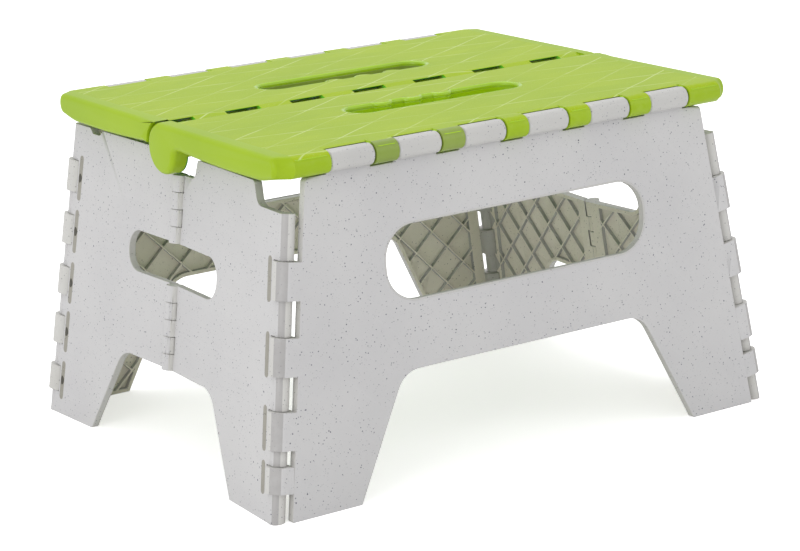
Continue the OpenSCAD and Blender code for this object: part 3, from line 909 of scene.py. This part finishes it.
    def _skirt_line(self, start: float) -> np.ndarray:
        """The skirt's lower edge: it sinks by a sine arch from near the lobe to the knuckle."""
        share = np.linspace(0.0, 1.0, 30)[1:-1]
        along = start + share * (self.hinge_y - start)
        ends = self.skirt_near + share * (2.0 * self.knuckle - self.skirt_near)
        arch = np.sin(np.pi * np.minimum(share / self.arch_at, 1.0) / 2)
        arch *= np.clip((1.0 - share) / self.arch_end, 0.0, 1.0)
        depth = ends + (self.skirt - self.skirt_near) * arch
        return np.stack([along, self.level - depth], axis=-1)

    def _deck_line(self, stop: float) -> np.ndarray:
        """Points along the deck, back to the centre, without its two ends."""
        along = np.linspace(self.hinge_y, stop, 16)[1:-1]
        return np.stack([along, np.full_like(along, self.level)], axis=-1)

    def end_cap(self, side: float, materials: Materials) -> bpy.types.Object:
        """A rounded plate that closes one end of the half.

        Its far corner turns in with a quarter ellipse: the pull is 1 minus the root of 1 minus the
        square of the way through the plate.

        Args:
            side: -1 for the left end and 1 for the right end.
            materials: The materials by the finishes' names.

        Returns:
            The new object.
        """
        lobed = side * self.way() > 0.0
        outline = self.lobe_outline() if lobed else self.plain_outline()
        rings, ledges = quarter_round(self.cap_round[0] if lobed else self.cap_round[1], 8)
        cut = self.half_length - self.cap
        levels = np.concatenate([[cut], self.half_length - rings[0] + rings])
        name = "left" if side < 0 else "right"
        near = np.clip((outline[:, 0] - self.hollow_to) / self.hollow_fade, self.hollow_share, 1.0)
        mesh = plate_mesh(f"{self.node}_{name}_end", outline, levels, np.concatenate([[0.0], ledges]),
                          1.0 if lobed else near)
        points = read_values(mesh.vertices, "co")
        turn = np.clip((points[:, 2] - cut) / self.cap, 0.0, 1.0)
        far = np.clip((points[:, 0] - self.corner_from) / self.corner_over, 0.0, 1.0)
        pull = 1.0 - np.sqrt(1.0 - self.corner_share * turn * turn)
        points[:, 0] -= self.corner * pull * far * far
        placed = np.stack([side * points[:, 2], self.way() * points[:, 0], points[:, 1]], axis=-1)
        mesh.vertices.foreach_set("co", placed.ravel())
        return finish_piece(mesh, [materials[LIME_SIDE.name]], self.node, 50.0)


def place_mesh(mesh: bpy.types.Mesh, origin: np.ndarray, axes: np.ndarray) -> None:
    """Moves a mesh's own x, y and z to an origin and three axes (rows), by one matrix product."""
    mesh.vertices.foreach_set("co", (origin + read_values(mesh.vertices, "co") @ axes).ravel())


def tube_points(path: np.ndarray, radius: float, sides: int = 10) -> np.ndarray:
    """Points of a tube along a level path, closed by a pole at each end.

    Each ring is the path's point plus radius times (cosine of the way sideways, sine of the way up),
    and sideways is the path's direction turned a quarter turn to the left.

    Args:
        path: The path's points (n, 3).
        radius: The tube's radius.
        sides: Points in a ring.

    Returns:
        The points ((n + 2), sides, 3).
    """
    run = np.gradient(path, axis=0)
    run /= np.linalg.norm(run, axis=1, keepdims=True)
    left = np.stack([-run[:, 1], run[:, 0], np.zeros(len(path))], axis=-1)
    left /= np.linalg.norm(left, axis=1, keepdims=True)
    angle = np.linspace(0.0, 2.0 * np.pi, sides + 1)[:-1]
    ring = radius * (np.cos(angle)[None, :, None] * left[:, None]
                     + np.sin(angle)[None, :, None] * np.array([0.0, 0.0, 1.0]))
    body = path[:, None] + ring
    start = np.repeat(path[:1, None], sides, axis=1)
    end = np.repeat(path[-1:, None], sides, axis=1)
    return np.concatenate([start, body, end])


def joined_grids(name: str, grids: np.ndarray) -> bpy.types.Mesh:
    """Makes one mesh of several grids of the same size, whose rows wrap, and merges their poles.

    Args:
        name: The mesh's name.
        grids: The points (grids, rows, columns, 3).

    Returns:
        The mesh.
    """
    count, rows, columns = grids.shape[:3]
    starts = np.arange(count) * rows * columns
    faces = starts[:, None, None] + ring_faces(rows, columns)[None]
    mesh = new_mesh(name, grids, faces.reshape(-1, 4).tolist())
    merge_points(mesh, clean=True)
    return mesh


def barrel_middles() -> np.ndarray:
    """Where the barrels' middles are along the edge hinge."""
    return (np.arange(BARRELS) - (BARRELS - 1) / 2) * BARREL_PITCH


def bead_mesh(name: str, rings: np.ndarray, heights: np.ndarray) -> bpy.types.Mesh:
    """Makes a closed bead of moved copies of an outline, whose last copy joins the first.

    Args:
        name: The mesh's name.
        rings: The copies (m, n, 2).
        heights: The height of each (m,).

    Returns:
        The mesh.
    """
    levels = np.broadcast_to(heights[:, None, None], rings.shape[:2] + (1,))
    points = np.concatenate([rings, levels], axis=-1)
    points = np.concatenate([points, points[:1]]).reshape(-1, 3)
    mesh = grid_mesh(name, points, len(rings) + 1, rings.shape[1])
    merge_points(mesh)
    return mesh


@dataclass
class HingeEdge:
    """The fine parts of a half's edge hinge: lips round the barrels' recesses and lines on the knuckles."""

    half: TopHalf
    recess: float = 16.9 * MM
    wall: float = 132.9 * MM
    turn: float = 2.4 * MM
    past_axis: float = 0.2 * MM
    lip: float = 1.5 * MM
    under_deck: float = 0.02 * MM
    line: float = 0.34 * MM
    line_angle: float = 42.0
    line_sunk: float = 0.08 * MM
    line_share: float = 0.86
    outer_share: float = 0.46

    def lips(self, materials: Materials) -> bpy.types.Object:
        """A bead round three sides of each recess: two straight runs and two quarter circles."""
        turn, back = self.turn, -self.wall - self.turn
        left = arc(-self.recess + turn, back, turn, math.pi, math.pi / 2, 7)
        right = arc(self.recess - turn, back, turn, math.pi / 2, 0.0, 7)
        front = -self.half.hinge_y - self.past_axis
        flat = np.concatenate([[[-self.recess, front]], left, right, [[self.recess, front]]])
        level = self.half.level - self.lip - self.under_deck
        path = np.concatenate([flat, np.full((len(flat), 1), level)], axis=1)
        shift = barrel_middles()[:, None] * np.array([1.0, 0.0, 0.0])
        grids = tube_points(path, self.lip)[None] + shift[:, None, None]
        return self._piece("recess_lips", grids, materials)

    def lines(self, materials: Materials) -> bpy.types.Object:
        """A fine raised moulding line along each knuckle: a thin tube part of the way up its round."""
        middles = barrel_middles()
        between = 0.5 * (middles[1:] + middles[:-1])
        reach = (BARREL_PITCH / 2 - self.recess) * self.line_share
        outer = self.half.half_length - self.half.cap - middles[-1] - self.recess
        ends = middles[-1] + self.recess + outer / 2
        centres = np.concatenate([between, [-ends, ends]])
        reaches = np.concatenate([np.full(len(between), reach), np.full(2, outer * self.outer_share)])
        share = np.linspace(-1.0, 1.0, 9)
        angle = math.radians(self.line_angle)
        radius = self.half.knuckle - self.line_sunk
        place = np.array([0.0, -self.half.hinge_y - radius * math.cos(angle),
                          self.half.hinge_z + radius * math.sin(angle)])
        run = np.array([1.0, 0.0, 0.0])
        tubes = np.stack([tube_points(place + (centre + length * share)[:, None] * run, self.line, 8)
                          for centre, length in zip(centres, reaches)])
        return self._piece("knuckle_lines", tubes, materials)

    def _piece(self, name: str, grids: np.ndarray, materials: Materials) -> bpy.types.Object:
        """Makes a glossy piece of tubes that are drawn on the front half."""
        mesh = joined_grids(f"{self.half.node}_{name}", grids * np.array([1.0, -self.half.way(), 1.0]))
        return finish_piece(mesh, [materials[LIME_RIM.name]], self.half.node, 60.0)


@dataclass
class BarrelCovers:
    """The full, slightly squared barrels of a leg panel, with round shoulders."""

    panel: "LegPanel"
    length: float = 31.0 * MM
    radius: float = 6.5 * MM
    square: float = 3.0
    shoulder: float = 2.4 * MM

    def build(self, materials: Materials) -> bpy.types.Object:
        """Sweeps a superellipse along the edge.

        Its points are radius times the signed power 2/n of cosine and sine, so |y|^n + |z|^n is one
        value, and its size falls by the quarter round at both ends.
        """
        rise, fall = quarter_round(self.shoulder, 7)
        half = self.length / 2
        along = np.concatenate([-half + self.shoulder - rise[::-1], half - self.shoulder + rise])
        size = np.concatenate([self.radius - fall[::-1], self.radius - fall])
        along = np.concatenate([along[:1], along, along[-1:]])
        size = np.concatenate([[0.0], size, [0.0]])
        angle = np.linspace(0.0, 2.0 * np.pi, 41)[:-1]
        power = 2.0 / self.square
        round_y = np.sign(np.cos(angle)) * np.abs(np.cos(angle)) ** power
        round_z = np.sign(np.sin(angle)) * np.abs(np.sin(angle)) ** power
        ring = np.stack([np.zeros_like(angle), round_y, round_z], axis=-1)
        barrel = size[:, None, None] * ring[None]
        barrel[:, :, 0] += along[:, None]
        way = self.panel.side.vector()[1]
        place = np.stack([barrel_middles(), np.full(BARRELS, way * self.panel.hinge_y),
                          np.full(BARRELS, self.panel.hinge_z)], axis=-1)
        mesh = joined_grids(f"{self.panel.node}_barrels", barrel[None] + place[:, None, None])
        return finish_piece(mesh, [materials[STRAW_RIM.name]], self.panel.node, 50.0)


@dataclass
class HandHoleRim:
    """The glossy rounded lip round a hand hole, with its three finger bumps."""

    half: TopHalf
    length: float = 130.0 * MM
    width: float = 24.0 * MM
    bump: float = 8.0 * MM
    bump_reach: float = 4.5 * MM
    bump_pitch: float = 23.0 * MM
    bump_shift: float = 8.0 * MM
    lip: float = 2.0 * MM
    shift: float = 0.85
    under_deck: float = 0.02 * MM

    def outline(self) -> np.ndarray:
        """The hole as points (x, y) round its middle, for the front half.

        The side towards the centre hinge is the lower one of the straight edge and each bump's circle:
        the circle's centre height minus the root of radius squared less distance squared.
        """
        half, straight = self.width / 2, (self.length - self.width) / 2
        run = np.linspace(straight, -straight, 150)[1:-1]
        centres = np.array([-1.0, 0.0, 1.0]) * self.bump_pitch - self.bump_shift
        away = np.minimum(np.abs(run[:, None] - centres[None]), self.bump)
        circles = half + self.bump - self.bump_reach - np.sqrt(self.bump ** 2 - away ** 2)
        near = np.stack([run, np.minimum(half, circles.min(axis=1))], axis=-1)
        right = arc(straight, 0.0, half, -math.pi / 2, math.pi / 2, 18)
        left = arc(-straight, 0.0, half, math.pi / 2, 1.5 * math.pi, 18)
        return np.concatenate([right, near, left])

    def build(self, materials: Materials) -> bpy.types.Object:
        """Sweeps a round bead along the outline: ring by ring, radius times (cosine, sine)."""
        angle = np.linspace(0.0, 2.0 * np.pi, 17)[:-1]
        rings = inset_outline(self.outline(), self.lip * (np.cos(angle) - self.shift))
        level = self.half.level - self.lip - self.under_deck
        mesh = bead_mesh(f"{self.half.node}_hole_rim", rings, level + self.lip * np.sin(angle))
        way = self.half.way()
        place_mesh(mesh, np.array([0.0, way * self.half.hole_y, 0.0]), np.diag([-way, -way, 1.0]))
        return finish_piece(mesh, [materials[LIME_RIM.name]], self.half.node, 60.0)


@dataclass
class OpeningBead:
    """The thin light bead round the opening of a leg panel."""

    panel: "LegPanel"
    length: float = 198.0 * MM
    low: float = 119.0 * MM
    height: float = 47.0 * MM
    round: float = 21.0 * MM
    bead: float = 0.8 * MM
    out: float = 0.55
    sunk: float = 0.62
    face_inset: float = 1.5 * MM

    def outline(self) -> np.ndarray:
        """A rectangle with round corners, as four quarter circles joined by straight sides."""
        across, up = self.length / 2 - self.round, self.height / 2 - self.round
        quarters = [arc(sx * across, sy * up, self.round, start, start + math.pi / 2, 14)
                    for sx, sy, start in ((1, -1, -math.pi / 2), (1, 1, 0.0), (-1, 1, math.pi / 2),
                                          (-1, -1, math.pi))]
        return np.concatenate(quarters)

    def build(self, materials: Materials) -> bpy.types.Object:
        """Sweeps the bead: each ring of the outline is moved out and up by radius times (cosine, sine)."""
        angle = np.linspace(0.0, 2.0 * np.pi, 9)[:-1]
        rings = inset_outline(self.outline(), -self.bead * (self.out + np.cos(angle)))
        mesh = bead_mesh(f"{self.panel.node}_opening_bead", rings, self.bead * (np.sin(angle) - self.sunk))
        way = self.panel.side.vector()[1]
        lean = PANEL_SPLAY
        middle = self.low + self.height / 2
        drop = self.panel.hinge_z - middle
        origin = np.array([0.0, way * (self.panel.hinge_y + drop * math.tan(lean)
                                       - self.face_inset / math.cos(lean)), middle])
        axes = np.array([[-way, 0.0, 0.0], [0.0, -way * math.sin(lean), math.cos(lean)],
                         [0.0, way * math.cos(lean), math.sin(lean)]])
        place_mesh(mesh, origin, axes)
        return finish_piece(mesh, [materials[STRAW_RIM.name]], self.panel.node, 60.0)


@dataclass
class CornerWindows:
    """The windows in an end half where the leg panel's tabs pass, as shaded slots beside each tab.

    The levels and insets of the slots and eyes are the rings of their plates, in millimetres.
    """

    half: "EndHalf"
    corner_half: float = 0.156
    axis_y: float = 0.13202
    axis_z: float = 0.21237
    lean: float = 8.22
    bend: float = 3.0
    face: float = 4.7 * MM
    start: float = 8.2 * MM
    wide: float = 4.6 * MM
    spare: float = 5.0 * MM
    sunk: float = 0.3 * MM
    eye_shift: float = 0.2 * MM
    slot_levels: tuple[float, ...] = (0.0, 0.30, 0.38)
    slot_insets: tuple[float, ...] = (0.0, 0.0, 0.12)
    eye_levels: tuple[float, ...] = (0.0, 0.16, 0.22)
    eye_insets: tuple[float, ...] = (0.0, 0.0, 0.10)

    def frame(self, height: float) -> tuple[np.ndarray, np.ndarray]:
        """The corner axis at a height, and the half's own axes: along the half, up the corner, outwards."""
        side = self.half.side.vector()[0]
        way = 1.0 if self.half.node.endswith("rear") else -1.0
        drop = self.axis_z - height
        lean, splay = math.tan(math.radians(self.lean)), math.tan(PANEL_SPLAY)
        origin = np.array([side * (self.corner_half + drop * lean),
                           way * (self.axis_y + drop * splay), height])
        upward = np.array([-side * lean, -way * splay, 1.0])
        upward /= np.linalg.norm(upward)
        bend = math.radians(self.bend)
        along = np.array([-side * math.sin(bend), -way * math.cos(bend), 0.0])
        along -= upward * float(along @ upward)
        along /= np.linalg.norm(along)
        outward = np.cross(along, upward)
        outward *= side * math.copysign(1.0, outward[0])
        return origin, np.stack([along, upward, outward])

    def slot_outline(self, length: float) -> np.ndarray:
        """A stadium: two half circles joined by straight sides, upright."""
        radius = self.wide / 2
        rise = length / 2 - radius
        return np.concatenate([arc(0.0, rise, radius, 0.0, math.pi, 12),
                               arc(0.0, -rise, radius, math.pi, 2 * math.pi, 12)])

    def eye_outline(self) -> np.ndarray:
        """A small lens with a point towards the half: x = 2 cos a, y = 3 sin a (1 - 0.35 cos a), in mm."""
        angle = np.linspace(0.0, 2.0 * np.pi, 25)[:-1]
        up = 3.0 * np.sin(angle) * (1.0 - 0.35 * np.cos(angle))
        return np.stack([2.0 * np.cos(angle), up], axis=-1) * MM

    def build(self, materials: Materials) -> None:
        """Makes a slot for every tab, and an eye in it on the rear halves."""
        rear = self.half.node.endswith("rear")
        for number, (low, high) in enumerate(self.half.tabs()):
            origin, axes = self.frame((low + high) / 2)
            middle = origin + axes[0] * (self.start + self.wide / 2) + axes[2] * (self.face - self.sunk)
            mesh = plate_mesh(f"{self.half.node}_window_{number + 1}",
                              self.slot_outline(high - low + (2.0 if rear else 1.0) * self.spare),
                              np.array(self.slot_levels) * MM, np.array(self.slot_insets) * MM)
            place_mesh(mesh, middle, axes)
            finish_piece(mesh, [materials[STRAW_SHADE.name]], self.half.node, 40.0)
            # Each rear window holds a small eye in painted deeper shade.
            if rear:
                eye = plate_mesh(f"{self.half.node}_eye_{number + 1}", self.eye_outline(),
                                 np.array(self.eye_levels) * MM, np.array(self.eye_insets) * MM)
                place_mesh(eye, middle + axes[0] * self.eye_shift + axes[2] * self.sunk, axes)
                finish_piece(eye, [materials[STRAW_DEEP_SHADE.name]], self.half.node, 40.0)


@dataclass
class LegPanel(Moulding):
    """The front or back panel with its opening, its legs and the barrels of the edge hinge.

    opening_zone is the half length in x and the range in z of the opening's rim.
    """

    hinge_y: float = 0.141
    hinge_z: float = 0.213
    barrel_radius: float = 6.5 * MM
    wide: float = 1.4 * MM
    face_inset: float = 1.5 * MM
    opening_zone: Triple = (0.104, 0.112, 0.172)
    opening_share: float = 0.6

    def shares(self, edges: EdgeField) -> np.ndarray:
        """The ends of the hinge barrels and the rim of the opening are rounded wide."""
        middle = edges.middle()
        spread = edges.end - edges.start
        sign = self.side.vector()[1]
        far = np.hypot(middle[:, 1] - sign * self.hinge_y, middle[:, 2] - self.hinge_z)
        barrel = (np.abs(far - self.barrel_radius) < 0.15 * MM) & (np.abs(spread[:, 0]) < 1e-5)
        face = (sign * middle[:, 1] - self.hinge_y) * math.cos(PANEL_SPLAY) \
            + (middle[:, 2] - self.hinge_z) * math.sin(PANEL_SPLAY)
        show = np.abs(face + self.face_inset) < 0.05 * MM
        half_run, low, high = self.opening_zone
        opening = show & (np.abs(middle[:, 0]) < half_run) & (middle[:, 2] > low) & (middle[:, 2] < high)
        return np.where(barrel, 1.0, np.where(opening, self.opening_share, 0.0))


@dataclass
class EndHalf(Moulding):
    """One half of an end panel, with its corner tabs and centre knuckles."""

    soft_to: float = 0.180
    front_tabs: tuple[tuple[float, float], ...] = ((18, 34), (44, 67), (88, 111), (133, 156))
    back_tabs: tuple[tuple[float, float], ...] = ((15, 32), (48, 67), (82, 101), (117, 137), (153, 174))

    def softens(self, edges: EdgeField) -> np.ndarray:
        """All edges but those of the dips and notches at the top."""
        return edges.middle()[:, 2] < self.soft_to

    def tabs(self) -> list[tuple[float, float]]:
        """The heights of the leg panel's tabs at this half's corner, in metres."""
        chosen = self.back_tabs if self.node.endswith("rear") else self.front_tabs
        return [(low * MM, high * MM) for low, high in chosen]


@dataclass
class Studio:
    """Camera, lights, white floor and white sky."""

    place: Triple = (-0.92539, -1.43931, 0.54722)
    right: Triple = (0.83316, -0.5514, -0.04254)
    upward: Triple = (0.17692, 0.19287, 0.96514)
    ahead: Triple = (0.52397, 0.81164, -0.25825)
    lens: float = 118.43
    sky: float = 0.80

    def build(self) -> None:
        """Makes everything round the step."""
        self._camera()
        self._lamps()
        self._world()
        self._floor()
        LOG.info("studio: camera, lamps, sky and floor")

    def _camera(self) -> None:
        """The camera at the photograph's angle."""
        data = bpy.data.cameras.new("PhotoCamera")
        data.lens = self.lens
        data.sensor_width = 36.0
        data.sensor_fit = "HORIZONTAL"
        data.clip_start = 0.05
        data.clip_end = 50.0
        camera = add_object("PhotoCamera", data)
        turn = Matrix((self.right, self.upward, tuple(-v for v in self.ahead))).transposed()
        camera.matrix_world = Matrix.Translation(Vector(self.place)) @ turn.to_4x4()
        bpy.context.scene.camera = camera

    def _lamp(self, name: str, place: Triple, size: float, power: float) -> None:
        """A square soft lamp that looks at the middle of the step."""
        data = bpy.data.lights.new(name, "AREA")
        data.shape = "SQUARE"
        data.size = size
        data.energy = power
        lamp = add_object(name, data)
        aim = Vector((0.0, 0.0, 0.12)) - Vector(place)
        turn = aim.to_track_quat("-Z", "Y").to_matrix().to_4x4()
        lamp.matrix_world = Matrix.Translation(Vector(place)) @ turn

    def _lamps(self) -> None:
        """A large lamp overhead at the back, a weak one at the right front and one at the left."""
        self._lamp("OverheadSoftbox", (0.2, 0.9, 2.3), 1.8, 15.0)
        self._lamp("RightSoftbox", (1.7, -1.9, 1.2), 1.4, 5.0)
        self._lamp("LeftSoftbox", (-2.3, -0.9, 1.0), 1.4, 14.0)

    def _world(self) -> None:
        """A sky that lights at a plain level and shows as white."""
        world = bpy.data.worlds.new("WhiteRoom")
        bpy.context.scene.world = world
        world.use_nodes = True
        graph = Graph(world.node_tree)
        back = world.node_tree.nodes["Background"]
        path = graph.add("ShaderNodeLightPath")
        shows = graph.maths("MAXIMUM", path.outputs["Is Camera Ray"], path.outputs["Is Transmission Ray"])
        strength = graph.maths("MULTIPLY_ADD", shows, 1.0 - self.sky, self.sky)
        back.inputs["Color"].default_value = (1.0, 1.0, 1.0, 1.0)
        graph.link(strength, back.inputs["Strength"])

    def _floor(self) -> None:
        """A large white disc: z = 0 over a polar grid of rings and spokes."""
        radius = np.array([0.0, 0.6, 1.5, 4.0, 9.0])
        angle = np.linspace(0.0, 2.0 * np.pi, 49)[:-1]
        ring = radius[:, None, None] * np.stack([np.cos(angle), np.sin(angle)], axis=-1)[None]
        points = np.concatenate([ring, np.zeros(ring.shape[:2] + (1,))], axis=-1).reshape(-1, 3)
        mesh = grid_mesh("StudioFloor", points, len(radius), len(angle))
        material = bpy.data.materials.new("WhiteFloor")
        material.use_nodes = True
        graph = Graph(material.node_tree)
        shader = material.node_tree.nodes["Principled BSDF"]
        path = graph.add("ShaderNodeLightPath")
        tint = graph.noise(graph.add("ShaderNodeTexCoord").outputs["Object"], 3.0, 2.0)
        graph.link(graph.blend(tint, (0.93, 0.93, 0.93, 1.0), (0.95, 0.95, 0.95, 1.0)),
                   shader.inputs["Base Color"])
        shader.inputs["Roughness"].default_value = 0.9
        shader.inputs["Specular IOR Level"].default_value = 0.1
        shader.inputs["Emission Color"].default_value = (1.0, 1.0, 1.0, 1.0)
        graph.link(graph.maths("MULTIPLY", path.outputs["Is Camera Ray"], 0.55),
                   shader.inputs["Emission Strength"])
        mesh.materials.append(material)
        floor = add_object("StudioFloor", mesh)


def grid_mesh(name: str, points: np.ndarray, rows: int, columns: int) -> bpy.types.Mesh:
    """Makes a mesh of a grid of points, row by row, whose last column joins the first.

    Args:
        name: The mesh's name.
        points: The points, rows * columns of them.
        rows, columns: The grid's size.

    Returns:
        The mesh, whose face (i, j) joins the points (i, j), (i + 1, j), (i + 1, j + 1), (i, j + 1).
    """
    return new_mesh(name, points, ring_faces(rows, columns)[:, [0, 3, 2, 1]].tolist())


@dataclass
class EntryStep:
    """The whole step: two top halves, two leg panels and four end halves."""

    def parts(self) -> list[Moulding]:
        """The mouldings, in the order that they are built."""
        ends = [EndHalf(node=f"{name}_end_{half}", side=side)
                for name, side in (("left", Side.LEFT), ("right", Side.RIGHT))
                for half in ("front", "rear")]
        return [TopHalf(node="top_front", side=Side.UP), TopHalf(node="top_rear", side=Side.UP),
                LegPanel(node="front_leg_panel", side=Side.FRONT),
                LegPanel(node="back_leg_panel", side=Side.BACK), *ends]

    def build(self) -> None:
        """Builds the plastics and every moulding."""
        effects = PlasticEffects()
        finishes = (LIME_DECK, LIME_RIM, LIME_SIDE, LIME_UNDER_SHADE, LIME_SLIT_SHADE, LIME_PAINTED_SHADE, STRAW_SHOW, STRAW_RIM,
                    STRAW_EDGE, STRAW_INSIDE_BOUNCE, STRAW_SHADE, STRAW_DEEP_SHADE, STRAW_CORNER_SHADE)
        materials = {finish.name: finish.build(effects) for finish in finishes}
        for part in self.parts():
            part.build(materials)
            if isinstance(part, TopHalf):
                part.end_cap(-1.0, materials)
                part.end_cap(1.0, materials)
                HandHoleRim(half=part).build(materials)
                HingeEdge(half=part).lips(materials)
                HingeEdge(half=part).lines(materials)
            elif isinstance(part, LegPanel):
                OpeningBead(panel=part).build(materials)
                BarrelCovers(panel=part).build(materials)
            elif isinstance(part, EndHalf):
                CornerWindows(half=part).build(materials)


def main() -> None:
    """Builds the step and the studio."""
    logging.basicConfig(level=logging.INFO, format="%(name)s: %(message)s")
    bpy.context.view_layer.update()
    scene = bpy.context.scene
    scene.view_settings.view_transform = "Standard"
    EntryStep().build()
    Studio().build()


if __name__ == "__main__":
    main()
